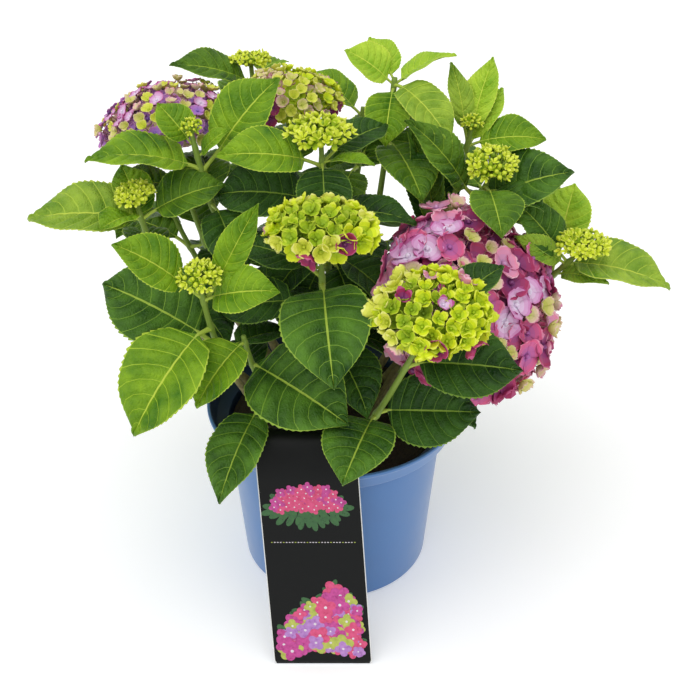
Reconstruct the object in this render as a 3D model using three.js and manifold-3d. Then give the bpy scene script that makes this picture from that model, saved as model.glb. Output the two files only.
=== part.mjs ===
// Potted hydrangea: leafy shoots with flower heads on canes, in a round pot with a bent plant label.
// Millimetres, +Z up, the origin at the centre of the pot's flat underside. The front is -Y.
import * as THREE from 'three';
import Module from 'manifold-3d';
import { mergeVertices } from 'three/addons/utils/BufferGeometryUtils.js';

// The pot: a 23 cm container with a deep collar
const RIM_RADIUS = 115;
const RIM_HEIGHT = 167;
const COLLAR_DEPTH = 18;
const COLLAR_FOOT_RADIUS = 109;
const BODY_TOP_RADIUS = 98;
const FOOT_RADIUS = 85.5;
const WALL = 2;
const LIP = 3;
const POT_FACETS = 36;

// The soil, and the gap that touching pieces keep
const SOIL_HEIGHT = 146;
const SOIL_MOUND = 3;
const GAP = 0.3;

// The label: a strip bent over the rim, hanging in front of the pot
const LABEL_WIDTH = 85;
const LABEL_THICKNESS = 0.9;
const LABEL_LEAN = 4;
const LABEL_SIDE = -21;
const LABEL_FOOT = { reach: -166, height: 1.5 };
const LABEL_RIM = { reach: -117.5, height: 170 };
const LABEL_TOP = { reach: -96, height: 203 };
const LABEL_INSIDE = { reach: -76, height: 174 };
const LABEL_ARCH = { outside: -106, inside: -82 };
const LABEL_END = -72;

// Stems
const CANE_RADIUS = 4.2;
const SHOOT_RADIUS = 2.6;
const TIP_RADIUS = 1.6;
const ROOT_FLARE = 1.5;
const CANE_SIDES = 6;
const CANE_STEPS = 4;
const SHOOT_SIDES = 5;
const SHOOT_STEPS = 3;

// Leaf blades: ovate, with a folded midrib
const BLADE_WIDTH = 0.68;
const BLADE_THICKNESS = 0.022;
const BLADE_FOLD = 14;
const BLADE_STATIONS = [0.14, 0.36, 0.6, 0.83];
const BLADE_TOP_SHARE = 0.3;
const STALK_RISE = 25;
const STALK_HOLD = 0.03;
const STALK_SPREAD = 0.35;

// Flower heads: how far round each kind spreads, its florets' size and its core's share and facets
const HEADS = {
  mophead: { spread: 104, floret: 2.2, lobes: 3, core: 0.84, columns: 8, rows: 6 },
  cluster: { spread: 90, floret: 2.1, lobes: 2, core: 0.66, columns: 6, rows: 4 },
};
const FLORET_NOTCH = 0.68;
const FLORET_CUP = 0.12;
const FLORET_STALK = 0.5;
const HEAD_SEAT = 0.7;
const GOLDEN_ANGLE = Math.PI * (3 - Math.sqrt(5));

const FINISH = {
  pot: { color: 0x4b78b4, roughness: 0.45 },
  soil: { color: 0x2c2019, roughness: 0.95 },
  label: { color: 0x17171a, roughness: 0.35 },
  cane: { color: 0x7d8a45, roughness: 0.7 },
  leaves: { color: 0x4c8230, roughness: 0.5 },
  lime: { color: 0xcdd836, roughness: 0.6 },
  pink: { color: 0xc24f96, roughness: 0.6 },
  mauve: { color: 0x9a6bb8, roughness: 0.6 },
  cream: { color: 0xd8cf9a, roughness: 0.6 },
};

const radians = THREE.MathUtils.degToRad;

// One leaf: at is its place along the shoot's curve, turn its heading seen from above (0 = +X),
// rise the slope of its chord, bend the whole downward curl, roll the tilt about its midrib.
function leaf(at, turn, rise, length, more = {}) {
  return { at, turn, rise, length, bend: 30, roll: 0, stalk: 14, width: BLADE_WIDTH, ...more };
}

// Two opposite leaves
function pair(at, turn, rise, length, more = {}) {
  return [leaf(at, turn, rise, length, more), leaf(at, turn + 180, rise, length, more)];
}

// The shoots. A curve runs from the foot by way of the bend to the tip; the cane ends at caneEnd.
const SHOOTS = [
  {
    name: 'front', foot: [-6, -24, 0], bend: [-8, -46, 240], tip: [-9, -50, 357], caneEnd: 0.5,
    head: { kind: 'mophead', colour: 'lime', radii: [48, 36, 16], turn: -90, rise: 80, florets: 18 },
    leaves: [
      leaf(0.82, -82, -22, 94, { stalk: 10, width: 0.82, bend: 40, roll: 6 }),
      leaf(0.85, 150, 2, 64, { roll: 20 }),
      leaf(0.7, 172, -14, 70, { stalk: 22, roll: 30 }),
      leaf(0.7, -8, -22, 48, { stalk: 16, roll: -20 }),
      leaf(0.56, -62, -24, 74, { stalk: 14 }),
      leaf(0.58, -4, -22, 62, { stalk: 14, width: 0.6 }),
    ],
  },
  {
    name: 'right_front', foot: [14, -26, 0], bend: [23, -121, 198], tip: [78, -101, 315], caneEnd: 0.36,
    head: { kind: 'mophead', colour: 'lime', radii: [50, 40, 17], turn: -86, rise: 58, florets: 20 },
    leaves: [
      leaf(0.82, 2, 5, 84, { stalk: 8, bend: 20, roll: -38, width: 0.8 }),
      leaf(0.51, -102, -13, 68, { stalk: 8, bend: 25, width: 0.86 }),
      leaf(0.53, -6, 3, 78, { stalk: 6, bend: 15, roll: -48, width: 0.84 }),
    ],
  },
  {
    name: 'right', foot: [34, -4, 0], bend: [62, -2, 205], tip: [98, 4, 256], caneEnd: 0.42,
    head: { kind: 'mophead', colour: 'pink', radii: [76, 82, 42], turn: -42, rise: 40, florets: 22 },
    leaves: [
      leaf(0.5, -38, -34, 70, { stalk: 16 }),
      leaf(0.56, 96, 6, 54, { stalk: 20 }),
    ],
  },
  {
    name: 'back_left', foot: [-30, 26, 0], bend: [-116, 90, 225], tip: [-150, 116, 356], caneEnd: 0.58,
    head: { kind: 'mophead', colour: 'mauve', radii: [54, 56, 33], turn: 150, rise: 74, florets: 17 },
    leaves: [
      leaf(0.85, 170, -5, 76, { roll: 10 }),
      leaf(0.85, 80, -5, 76),
      leaf(0.68, 108, 0, 80),
      leaf(0.66, -70, -20, 56),
    ],
  },
  {
    name: 'back', foot: [-8, 30, 0], bend: [-26, 96, 235], tip: [-41, 122, 380], caneEnd: 0.58,
    head: { kind: 'mophead', colour: 'cream', radii: [47, 44, 27], turn: 90, rise: 80, florets: 15 },
    leaves: [
      leaf(0.84, 95, 5, 76),
      leaf(0.84, -70, 6, 60),
      leaf(0.68, 165, 5, 80),
      leaf(0.66, -24, -12, 60),
    ],
  },
  {
    name: 'centre', foot: [4, 4, 0], bend: [-4, 22, 260], tip: [-10, 28, 408], caneEnd: 0.56,
    head: { kind: 'cluster', colour: 'lime', radii: [28, 22, 9], turn: -90, rise: 82, florets: 11 },
    leaves: [
      leaf(0.92, -165, 9, 76, { roll: 26 }),
      leaf(0.93, -26, 7, 42, { width: 0.45, stalk: 6 }),
      leaf(0.93, -86, -52, 52, { width: 0.95, stalk: 6 }),
      leaf(0.93, 39, 8, 58, { roll: -15, bend: 20 }),
      leaf(0.79, 172, 0, 84, { roll: 25, width: 0.75 }),
      leaf(0.78, -15, 4, 72, { roll: -10, stalk: 8 }),
      leaf(0.66, -130, -22, 62),
      leaf(0.62, -35, -28, 74),
    ],
  },
  {
    name: 'top_left', foot: [-16, 44, 0], bend: [-62, 150, 250], tip: [-76, 175, 412], caneEnd: 0.6,
    head: { kind: 'cluster', colour: 'lime', radii: [20, 16, 7], turn: 90, rise: 85, florets: 8 },
    leaves: [
      leaf(0.95, -156, 19, 66, { stalk: 8, roll: 12 }),
      leaf(0.95, 60, 4, 48),
      leaf(0.82, 110, 5, 76),
      leaf(0.7, 50, 0, 84),
    ],
  },
  {
    name: 'far_left', foot: [-38, 2, 0], bend: [-140, 10, 220], tip: [-165, 18, 356], caneEnd: 0.55,
    head: { kind: 'cluster', colour: 'lime', radii: [20, 17, 9], turn: 180, rise: 80, florets: 9 },
    leaves: [
      leaf(0.94, 178, 4, 86, { stalk: 3, roll: 14, width: 0.78 }),
      leaf(0.94, 13, 16, 64, { stalk: 12, roll: -22, width: 0.82 }),
      leaf(0.95, -122, 9, 44, { stalk: 6, width: 0.75 }),
      leaf(0.9, 116, 35, 54, { stalk: 10 }),
      leaf(0.76, 112, -8, 68, { width: 0.62 }),
      leaf(0.7, -50, -20, 78),
      leaf(0.6, 168, -20, 68),
    ],
  },
  {
    name: 'left_front', foot: [-30, -22, 0], bend: [-96, -66, 215], tip: [-104, -78, 334], caneEnd: 0.52,
    head: { kind: 'cluster', colour: 'lime', radii: [17, 17, 11], turn: -90, rise: 72, florets: 9 },
    leaves: [
      leaf(0.88, -165, 44, 74, { stalk: 26, roll: -10, width: 0.66 }),
      leaf(0.93, -22, 17, 62, { stalk: 7, roll: -34 }),
      leaf(0.8, -141, -37, 94, { stalk: 8, width: 0.76 }),
      leaf(0.7, 164, 37, 92, { stalk: 18, roll: 28, width: 0.78 }),
      leaf(0.66, 36, -10, 60, { stalk: 12 }),
    ],
  },
  {
    name: 'upper_left', foot: [-22, 14, 0], bend: [-96, 40, 270], tip: [-118, 45, 406], caneEnd: 0.56,
    head: { kind: 'cluster', colour: 'lime', radii: [9, 8, 8], turn: -90, rise: 80, florets: 5 },
    leaves: [
      leaf(0.95, 150, 40, 40, { stalk: 7 }),
      leaf(0.93, -8, 36, 32, { stalk: 4 }),
      leaf(0.88, -172, 12, 86, { stalk: 9, roll: 8 }),
      leaf(0.87, 24, 44, 80, { stalk: 22, roll: -26, width: 0.74 }),
      leaf(0.76, 100, 0, 66),
      leaf(0.76, -68, -30, 70),
    ],
  },
  {
    name: 'right_centre', foot: [38, 14, 0], bend: [106, 92, 236], tip: [134, 58, 360], caneEnd: 0.6,
    head: { kind: 'cluster', colour: 'lime', radii: [26, 22, 15], turn: -60, rise: 78, florets: 11 },
    leaves: [
      leaf(0.88, -174, 52, 88, { stalk: 16, roll: 40, width: 0.46 }),
      leaf(0.88, -4, 30, 76, { stalk: 4, roll: -28, width: 0.82 }),
      leaf(0.9, -74, 18, 66, { stalk: 15, width: 0.8, roll: -10 }),
      leaf(0.74, 40, 5, 74),
    ],
  },
  {
    name: 'far_right', foot: [54, 2, 0], bend: [146, 86, 184], tip: [213, 20, 308], caneEnd: 0.58,
    head: { kind: 'cluster', colour: 'lime', radii: [24, 18, 9], turn: -90, rise: 76, florets: 10 },
    leaves: [
      leaf(0.92, -18, -6, 82, { stalk: 4, roll: -8 }),
      leaf(0.9, -144, 50, 80, { stalk: 10, roll: 20, width: 0.6 }),
      leaf(0.84, 66, 44, 62, { stalk: 26, width: 0.8 }),
      leaf(0.7, 100, 0, 82),
    ],
  },
  {
    name: 'upper_right', foot: [24, 34, 0], bend: [92, 84, 225], tip: [120, 100, 384], caneEnd: 0.56,
    head: { kind: 'cluster', colour: 'lime', radii: [9, 8, 8], turn: -90, rise: 80, florets: 5 },
    leaves: [
      leaf(0.96, 98, 54, 64, { stalk: 9, width: 0.5 }),
      leaf(0.96, 72, 42, 72, { stalk: 10, width: 0.56 }),
      leaf(0.95, -6, 6, 62, { stalk: 11 }),
      leaf(0.9, 176, 14, 60, { stalk: 8, roll: 25 }),
      leaf(0.62, -150, 68, 84, { width: 0.4 }),
      leaf(0.7, -100, 50, 60, { width: 0.6 }),
      leaf(0.78, 110, 5, 84),
    ],
  },
  {
    name: 'top', foot: [6, 54, 0], bend: [38, 96, 260], tip: [53, 120, 424], caneEnd: 0.6,
    head: null,
    leaves: [
      leaf(0.98, 172, 38, 46, { stalk: 5, width: 0.75 }),
      leaf(0.99, 118, 26, 46, { stalk: 4 }),
      leaf(0.98, 11, 23, 54, { stalk: 5 }),
      leaf(0.98, -36, -25, 76, { stalk: 6, roll: -20, bend: 50, width: 0.68 }),
      leaf(0.9, -18, 2, 38, { stalk: 10 }),
      leaf(0.82, -100, 0, 74, { width: 0.8 }),
      leaf(0.82, 60, 0, 80),
    ],
  },
  {
    name: 'front_low', foot: [-26, -42, 0], bend: [-60, -62, 200], tip: [-72, -80, 286], caneEnd: 0.4,
    head: null,
    leaves: [
      leaf(0.8, -37, -11, 98, { stalk: 1, bend: 22, roll: -26, width: 0.84 }),
      leaf(0.5, -119, -28, 84, { stalk: 24, width: 0.54 }),
      leaf(0.96, -134, -35, 64, { stalk: 2, width: 0.95 }),
      leaf(0.66, 110, -6, 56),
    ],
  },
  {
    name: 'rear_left', foot: [-40, 44, 0], bend: [-120, 120, 200], tip: [-158, 160, 274], caneEnd: 0.5,
    head: null,
    leaves: [
      ...pair(0.97, 60, 8, 74),
      ...pair(0.78, 150, 0, 84),
      leaf(0.62, 70, -6, 80),
      leaf(0.54, 172, -16, 76),
    ],
  },
  {
    name: 'rear', foot: [8, 72, 0], bend: [14, 146, 230], tip: [22, 168, 380], caneEnd: 0.55,
    head: null,
    leaves: [
      leaf(0.97, 150, 35, 62, { stalk: 8 }),
      leaf(0.97, 20, 10, 62),
      ...pair(0.8, 70, 0, 84),
    ],
  },
  {
    name: 'rear_low', foot: [-12, 76, 0], bend: [-20, 150, 200], tip: [-30, 200, 290], caneEnd: 0.5,
    head: null,
    leaves: [
      ...pair(0.97, 15, 5, 80),
      ...pair(0.78, 100, -5, 82, { width: 0.6 }),
      leaf(0.6, 20, -14, 76),
      leaf(0.56, 150, -12, 74),
    ],
  },
  {
    name: 'rear_right', foot: [44, 52, 0], bend: [120, 130, 200], tip: [150, 160, 290], caneEnd: 0.5,
    head: null,
    leaves: [
      ...pair(0.97, 130, 8, 84),
      ...pair(0.8, 30, 0, 84),
      leaf(0.62, 110, -8, 80),
      leaf(0.54, 12, -14, 76),
    ],
  },
];

// A closed body through rings of points: each ring runs counter-clockwise round the way ahead,
// and a ring of one point closes to a tip.
function loft(rings) {
  const positions = [];
  const faces = [];
  const starts = rings.map((ring) => {
    const start = positions.length / 3;
    ring.forEach((point) => positions.push(point.x, point.y, point.z));
    return start;
  });
  const addFan = (ring, start, ahead) => {
    if (ring.length === 1) return;
    const hub = positions.length / 3;
    const middle = ring.reduce((sum, point) => sum.add(point), new THREE.Vector3());
    middle.divideScalar(ring.length);
    positions.push(middle.x, middle.y, middle.z);
    ring.forEach((_, k) => {
      const next = (k + 1) % ring.length;
      faces.push(hub, start + (ahead ? k : next), start + (ahead ? next : k));
    });
  };
  for (let i = 0; i < rings.length - 1; i += 1) {
    const size = Math.max(rings[i].length, rings[i + 1].length);
    for (let k = 0; k < size; k += 1) {
      const next = (k + 1) % size;
      const near = (index) => starts[i] + (rings[i].length === 1 ? 0 : index);
      const far = (index) => starts[i + 1] + (rings[i + 1].length === 1 ? 0 : index);
      if (rings[i].length > 1) faces.push(near(k), near(next), far(next));
      if (rings[i + 1].length > 1) faces.push(near(k), far(next), far(k));
    }
  }
  addFan(rings[0], starts[0], false);
  addFan(rings[rings.length - 1], starts[rings.length - 1], true);
  const geometry = new THREE.BufferGeometry();
  geometry.setAttribute('position', new THREE.Float32BufferAttribute(positions, 3));
  geometry.setIndex(faces);
  return geometry;
}

const wasm = await Module();
wasm.setup();

// A geometry as a solid for joining and cutting
function toSolid(geometry) {
  geometry.deleteAttribute('normal');
  geometry.deleteAttribute('uv');
  const merged = mergeVertices(geometry, 1e-4);
  return new wasm.Manifold(new wasm.Mesh({
    numProp: 3,
    vertProperties: merged.attributes.position.array,
    triVerts: new Uint32Array(merged.index.array),
  }));
}

// A solid back as a geometry
function toGeometry(solid) {
  const mesh = solid.getMesh();
  const geometry = new THREE.BufferGeometry();
  geometry.setAttribute('position', new THREE.BufferAttribute(mesh.vertProperties, 3));
  geometry.setIndex(new THREE.BufferAttribute(mesh.triVerts, 1));
  return geometry;
}

const join = (solids) => solids.reduce((whole, piece) => whole.add(piece));

const plant = new THREE.Group();

function addMesh(name, geometry, finish) {
  const material = new THREE.MeshStandardMaterial({ ...FINISH[finish], metalness: 0 });
  const mesh = new THREE.Mesh(geometry, material);
  mesh.name = name;
  plant.add(mesh);
}

// Heading from a turn in plan and a rise above level, in degrees
function heading(turn, rise) {
  const level = Math.cos(radians(rise));
  return new THREE.Vector3(
    level * Math.cos(radians(turn)),
    level * Math.sin(radians(turn)),
    Math.sin(radians(rise)),
  );
}

// Two directions square to a heading, counter-clockwise round it
function crossAxes(ahead) {
  const steep = Math.abs(ahead.z) > 0.8;
  const guide = steep ? new THREE.Vector3(1, 0, 0) : new THREE.Vector3(0, 0, 1);
  const across = new THREE.Vector3().crossVectors(guide, ahead).normalize();
  const up = new THREE.Vector3().crossVectors(ahead, across).normalize();
  return [across, up];
}

function ringAt(centre, across, up, radius, sides) {
  return Array.from({ length: sides }, (_, k) => {
    const angle = (2 * Math.PI * k) / sides;
    return centre.clone()
      .addScaledVector(across, radius * Math.cos(angle))
      .addScaledVector(up, radius * Math.sin(angle));
  });
}

// A tapering limb along a curve between two places on it
function limb(curve, from, to, startRadius, endRadius, sides, steps) {
  const guide = crossAxes(curve.getTangent((from + to) / 2))[0];
  const rings = [];
  for (let i = 0; i <= steps; i += 1) {
    const place = from + ((to - from) * i) / steps;
    const ahead = curve.getTangent(place);
    const up = new THREE.Vector3().crossVectors(ahead, guide).normalize();
    const across = new THREE.Vector3().crossVectors(up, ahead).normalize();
    const radius = THREE.MathUtils.lerp(startRadius, endRadius, i / steps);
    rings.push(ringAt(curve.getPoint(place), across, up, radius, sides));
  }
  return rings;
}

// The pot
function potGeometry() {
  const collarFoot = RIM_HEIGHT - COLLAR_DEPTH;
  const floor = WALL + GAP;
  const profile = [
    [0, 0], [FOOT_RADIUS - WALL, 0], [FOOT_RADIUS, WALL],
    [BODY_TOP_RADIUS, collarFoot - WALL], [COLLAR_FOOT_RADIUS, collarFoot],
    [RIM_RADIUS - 1, RIM_HEIGHT - LIP], [RIM_RADIUS, RIM_HEIGHT - LIP / 2],
    [RIM_RADIUS - 1, RIM_HEIGHT], [RIM_RADIUS - LIP, RIM_HEIGHT],
    [COLLAR_FOOT_RADIUS - WALL, collarFoot + WALL], [BODY_TOP_RADIUS - WALL, collarFoot],
    [FOOT_RADIUS - WALL, floor], [0, floor],
  ];
  const points = profile.map(([radius, height]) => new THREE.Vector2(radius, height));
  return new THREE.LatheGeometry(points, POT_FACETS).rotateX(Math.PI / 2);
}

// The soil, a clearance inside the pot's wall and floor
function soilGeometry() {
  const floor = WALL + 2 * GAP;
  const slope = (BODY_TOP_RADIUS - FOOT_RADIUS) / (RIM_HEIGHT - COLLAR_DEPTH - WALL);
  const inner = (height) => FOOT_RADIUS - WALL - 2 * GAP + slope * (height - floor);
  const shoulder = SOIL_HEIGHT - SOIL_MOUND;
  const points = [
    new THREE.Vector2(0, floor),
    new THREE.Vector2(inner(floor), floor),
    new THREE.Vector2(inner(shoulder), shoulder),
    new THREE.Vector2(inner(shoulder) - 2 * SOIL_MOUND, SOIL_HEIGHT),
    new THREE.Vector2(0, SOIL_HEIGHT),
  ];
  return new THREE.LatheGeometry(points, POT_FACETS).rotateX(Math.PI / 2);
}

// The label: one strip, from its foot up to the rim, over in an arch and down to the soil
function labelGeometry() {
  const place = ({ reach, height }) => new THREE.Vector3(0, reach, height);
  const soil = { reach: LABEL_END, height: SOIL_HEIGHT + GAP };
  const outside = new THREE.QuadraticBezierCurve3(
    place(LABEL_RIM),
    place({ reach: LABEL_ARCH.outside, height: LABEL_TOP.height }),
    place(LABEL_TOP),
  );
  const inside = new THREE.QuadraticBezierCurve3(
    place(LABEL_TOP),
    place({ reach: LABEL_ARCH.inside, height: LABEL_TOP.height }),
    place(LABEL_INSIDE),
  );
  const line = [
    place(LABEL_FOOT), ...outside.getPoints(4), ...inside.getPoints(4).slice(1), place(soil),
  ];
  const half = LABEL_WIDTH / 2;
  const rings = line.map((point, i) => {
    const before = line[Math.max(i - 1, 0)];
    const after = line[Math.min(i + 1, line.length - 1)];
    const ahead = after.clone().sub(before).normalize();
    const out = new THREE.Vector3(0, -ahead.z, ahead.y).multiplyScalar(LABEL_THICKNESS / 2);
    const side = LABEL_SIDE + (LABEL_RIM.height - point.z) * Math.tan(radians(LABEL_LEAN));
    return [[-half, 1], [half, 1], [half, -1], [-half, -1]].map(([x, sign]) => (
      new THREE.Vector3(side + x, point.y + sign * out.y, point.z + sign * out.z)
    ));
  });
  return loft(rings);
}

// A shoot's own curve
function stemCurve(shoot) {
  const ground = new THREE.Vector3(shoot.foot[0], shoot.foot[1], SOIL_HEIGHT + GAP);
  return new THREE.QuadraticBezierCurve3(
    ground,
    new THREE.Vector3(...shoot.bend),
    new THREE.Vector3(...shoot.tip),
  );
}

// The half width of a blade at a share of its length, as a share of its full width
function bladeOutline(share) {
  return 0.5 * 2.08 * Math.sqrt(share) * (1 - share) ** 0.75;
}

// A leaf's own frame: where its stalk leaves the stem, where its blade starts, and its axes
function leafFrame(curve, shape) {
  const root = curve.getPoint(shape.at);
  const base = root.clone().addScaledVector(
    heading(shape.turn, shape.rise * 0.5 + STALK_RISE), shape.stalk + SHOOT_RADIUS,
  );
  const chord = heading(shape.turn, shape.rise);
  const level = heading(shape.turn, shape.rise + 90);
  const side = new THREE.Vector3().crossVectors(level, chord);
  const roll = radians(shape.roll);
  const face = level.multiplyScalar(Math.cos(roll)).addScaledVector(side, Math.sin(roll));
  return { root, base, chord, face };
}

// A point on the blade: along its length, across it from -1 to 1, and above its middle sheet
function bladePoint(shape, frame, along, across, above) {
  const bend = radians(shape.bend);
  const turned = bend * (0.5 - along);
  const ahead = frame.chord.clone().multiplyScalar(Math.cos(turned))
    .addScaledVector(frame.face, Math.sin(turned));
  const up = frame.face.clone().multiplyScalar(Math.cos(turned))
    .addScaledVector(frame.chord, -Math.sin(turned));
  const side = new THREE.Vector3().crossVectors(up, ahead);
  const reach = (Math.sin(bend / 2) - Math.sin(turned)) / bend;
  const rise = (Math.cos(turned) - Math.cos(bend / 2)) / bend;
  const half = bladeOutline(along) * shape.width * shape.length * across;
  const fold = radians(BLADE_FOLD);
  return frame.base.clone()
    .addScaledVector(frame.chord, shape.length * reach)
    .addScaledVector(frame.face, shape.length * rise)
    .addScaledVector(side, half * Math.cos(fold))
    .addScaledVector(up, Math.abs(half) * Math.sin(fold) + above);
}

// A leaf: a stalk whose root is sunk in the stem, opening into a thin folded blade
function leafSolid(curve, shape) {
  const frame = leafFrame(curve, shape);
  const thick = BLADE_THICKNESS * shape.length;
  const section = (along, half) => [
    bladePoint(shape, frame, along, half, 0),
    bladePoint(shape, frame, along, 0, thick * BLADE_TOP_SHARE),
    bladePoint(shape, frame, along, -half, 0),
    bladePoint(shape, frame, along, 0, thick * (BLADE_TOP_SHARE - 1)),
  ];
  const neck = section(STALK_HOLD, STALK_SPREAD);
  const neckMiddle = bladePoint(shape, frame, STALK_HOLD, 0, 0);
  const root = neck.map((point) => point.clone().sub(neckMiddle).add(frame.root));
  return toSolid(loft([
    root,
    neck,
    ...BLADE_STATIONS.map((along) => section(along, 1)),
    [bladePoint(shape, frame, 1, 0, 0)],
  ]));
}

// A head's own frame: its axis, the two directions across it, and its middle
function headFrame(shoot) {
  const { turn, rise, radii } = shoot.head;
  const axis = heading(turn, rise);
  const across = heading(turn + 90, 0);
  const up = new THREE.Vector3().crossVectors(axis, across);
  const centre = new THREE.Vector3(...shoot.tip).addScaledVector(axis, radii[2] * HEAD_SEAT);
  return { axis, across, up, centre };
}

// The place of a head's floret, counted from its crown, and the way that it faces
function floretPlace(head, frame, index) {
  const edge = Math.cos(radians(HEADS[head.kind].spread));
  const reach = 1 - ((index + 0.5) / head.florets) * (1 - edge);
  const flat = Math.sqrt(1 - reach * reach);
  const angle = index * GOLDEN_ANGLE;
  const parts = [flat * Math.cos(angle), flat * Math.sin(angle), reach];
  const axes = [frame.across, frame.up, frame.axis];
  const at = frame.centre.clone();
  const facing = new THREE.Vector3();
  parts.forEach((part, k) => {
    at.addScaledVector(axes[k], part * head.radii[k]);
    facing.addScaledVector(axes[k], part / head.radii[k]);
  });
  return { at, facing: facing.normalize() };
}

// A floret: cupped lobes on a stalk that narrows to a point inside the head
function floretSolid(place, size, lobes, middle) {
  const [across, up] = crossAxes(place.facing);
  const cup = place.at.clone().addScaledVector(place.facing, FLORET_CUP * size);
  const rim = Array.from({ length: lobes * 2 }, (_, k) => {
    const angle = (Math.PI * k) / lobes;
    const reach = (size / 2) * (k % 2 === 0 ? 1 : FLORET_NOTCH);
    return cup.clone()
      .addScaledVector(across, reach * Math.cos(angle))
      .addScaledVector(up, reach * Math.sin(angle));
  });
  return toSolid(loft([[place.at.clone().lerp(middle, FLORET_STALK)], rim, [place.at]]));
}

// The core of a head, grown by a margin
function coreSolid(shoot, margin) {
  const { head } = shoot;
  const kind = HEADS[head.kind];
  const { axis, across, up, centre } = headFrame(shoot);
  const core = new THREE.SphereGeometry(1, kind.columns, kind.rows)
    .rotateX(Math.PI / 2)
    .scale(...head.radii.map((radius) => radius * kind.core + margin));
  core.applyMatrix4(new THREE.Matrix4().makeBasis(across, up, axis).setPosition(centre));
  return toSolid(core);
}

// A flower head: florets standing out of a smaller core
function headSolid(shoot) {
  const { head } = shoot;
  const kind = HEADS[head.kind];
  const frame = headFrame(shoot);
  const size = kind.floret * Math.sqrt((head.radii[0] * head.radii[1]) / head.florets);
  const florets = Array.from({ length: head.florets }, (_, index) => (
    floretSolid(floretPlace(head, frame, index), size, kind.lobes, frame.centre)
  ));
  return join([coreSolid(shoot, 0), ...florets]);
}

addMesh('pot', potGeometry(), 'pot');
addMesh('soil', soilGeometry(), 'soil');
addMesh('label', labelGeometry(), 'label');

for (const shoot of SHOOTS) {
  const curve = stemCurve(shoot);
  const gapShare = GAP / curve.getLength();
  const cane = limb(curve, 0, shoot.caneEnd, CANE_RADIUS, SHOOT_RADIUS, CANE_SIDES, CANE_STEPS);
  const level = crossAxes(curve.getTangent(shoot.caneEnd / 2))[0].setZ(0).normalize();
  cane[0] = ringAt(
    curve.getPoint(0),
    level,
    new THREE.Vector3(0, 0, 1).cross(level),
    CANE_RADIUS * ROOT_FLARE,
    CANE_SIDES,
  );
  addMesh(`cane_${shoot.name}`, loft(cane), 'cane');
  const start = shoot.caneEnd + 2 * gapShare;
  const shootRings = limb(curve, start, 1, SHOOT_RADIUS, TIP_RADIUS, SHOOT_SIDES, SHOOT_STEPS);
  const leaves = shoot.leaves.map((shape) => leafSolid(curve, shape));
  const mass = join([toSolid(loft(shootRings)), ...leaves]);
  const clear = shoot.head ? mass.subtract(coreSolid(shoot, GAP)) : mass;
  addMesh(`leaves_${shoot.name}`, toGeometry(clear), 'leaves');
  if (shoot.head) {
    addMesh(`head_${shoot.name}`, toGeometry(headSolid(shoot)), shoot.head.colour);
  }
}

export default plant;
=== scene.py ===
# A potted hydrangea: leafy shoots on canes, lime, pink, mauve and cream flower heads, in a blue
# grower's pot with a bent card label. It stands on z = 0, its front towards -y, in metres.
import math
import random

import bmesh
import bpy
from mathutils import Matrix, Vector, noise


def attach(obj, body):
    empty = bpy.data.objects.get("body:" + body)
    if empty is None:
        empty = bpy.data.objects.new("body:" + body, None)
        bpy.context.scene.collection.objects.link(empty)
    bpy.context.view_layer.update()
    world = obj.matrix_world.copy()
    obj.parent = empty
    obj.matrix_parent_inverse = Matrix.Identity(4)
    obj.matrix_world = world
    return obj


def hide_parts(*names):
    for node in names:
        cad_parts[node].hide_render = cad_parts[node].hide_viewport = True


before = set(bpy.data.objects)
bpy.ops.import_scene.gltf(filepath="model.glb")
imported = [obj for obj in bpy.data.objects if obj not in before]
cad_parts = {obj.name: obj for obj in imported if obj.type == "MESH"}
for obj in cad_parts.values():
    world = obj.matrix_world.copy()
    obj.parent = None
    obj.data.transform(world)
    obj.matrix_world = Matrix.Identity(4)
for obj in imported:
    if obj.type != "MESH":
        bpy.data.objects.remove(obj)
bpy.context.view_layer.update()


# The pot: a round 23 cm grower's container of matt blue plastic, moulded in one piece. Its thin
# wall widens upwards to a deep collar with a rounded lip, and it stands on its flat foot.
POT_LINE = [
    (0, 0), (0.0835, 0), (0.0855, 0.002), (0.0975, 0.1445), (0.099, 0.1468), (0.1085, 0.149),
    (0.1095, 0.1515), (0.1134, 0.1625), (0.115, 0.164), (0.115, 0.167), (0.1118, 0.167),
    (0.1072, 0.151), (0.0962, 0.149), (0.0835, 0.0023), (0, 0.0023),
]


def linear(red, green, blue):
    """A colour seen as 0 to 255 on a screen, as the shader wants it."""
    parts = [c / 255 for c in (red, green, blue)]
    return tuple(c / 12.92 if c < 0.04045 else ((c + 0.055) / 1.055) ** 2.4 for c in parts) + (1,)


# The mottle is one cloud of noise that a material takes its colour, roughness and height from.
mottle = bpy.data.node_groups.new("mottle", "ShaderNodeTree")
for way, kind, labels in (
    ("INPUT", "Color", ("Dark", "Light")), ("INPUT", "Float", ("Scale", "Smooth", "Rough")),
    ("OUTPUT", "Color", ("Color",)), ("OUTPUT", "Float", ("Roughness", "Height")),
):
    for label in labels:
        mottle.interface.new_socket(label, in_out=way, socket_type=f"NodeSocket{kind}")
given = mottle.nodes.new("NodeGroupInput")
taken = mottle.nodes.new("NodeGroupOutput")
place = mottle.nodes.new("ShaderNodeTexCoord")
cloud = mottle.nodes.new("ShaderNodeTexNoise")
cloud.inputs["Detail"].default_value = 4
blend = mottle.nodes.new("ShaderNodeMix")
blend.data_type = "RGBA"
spread, patches = mottle.nodes.new("ShaderNodeMapRange"), mottle.nodes.new("ShaderNodeMapRange")
for stretched, low in ((spread, 0.3), (patches, 0.24)):
    stretched.inputs["From Min"].default_value = low
    stretched.inputs["From Max"].default_value = 1 - low
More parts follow.
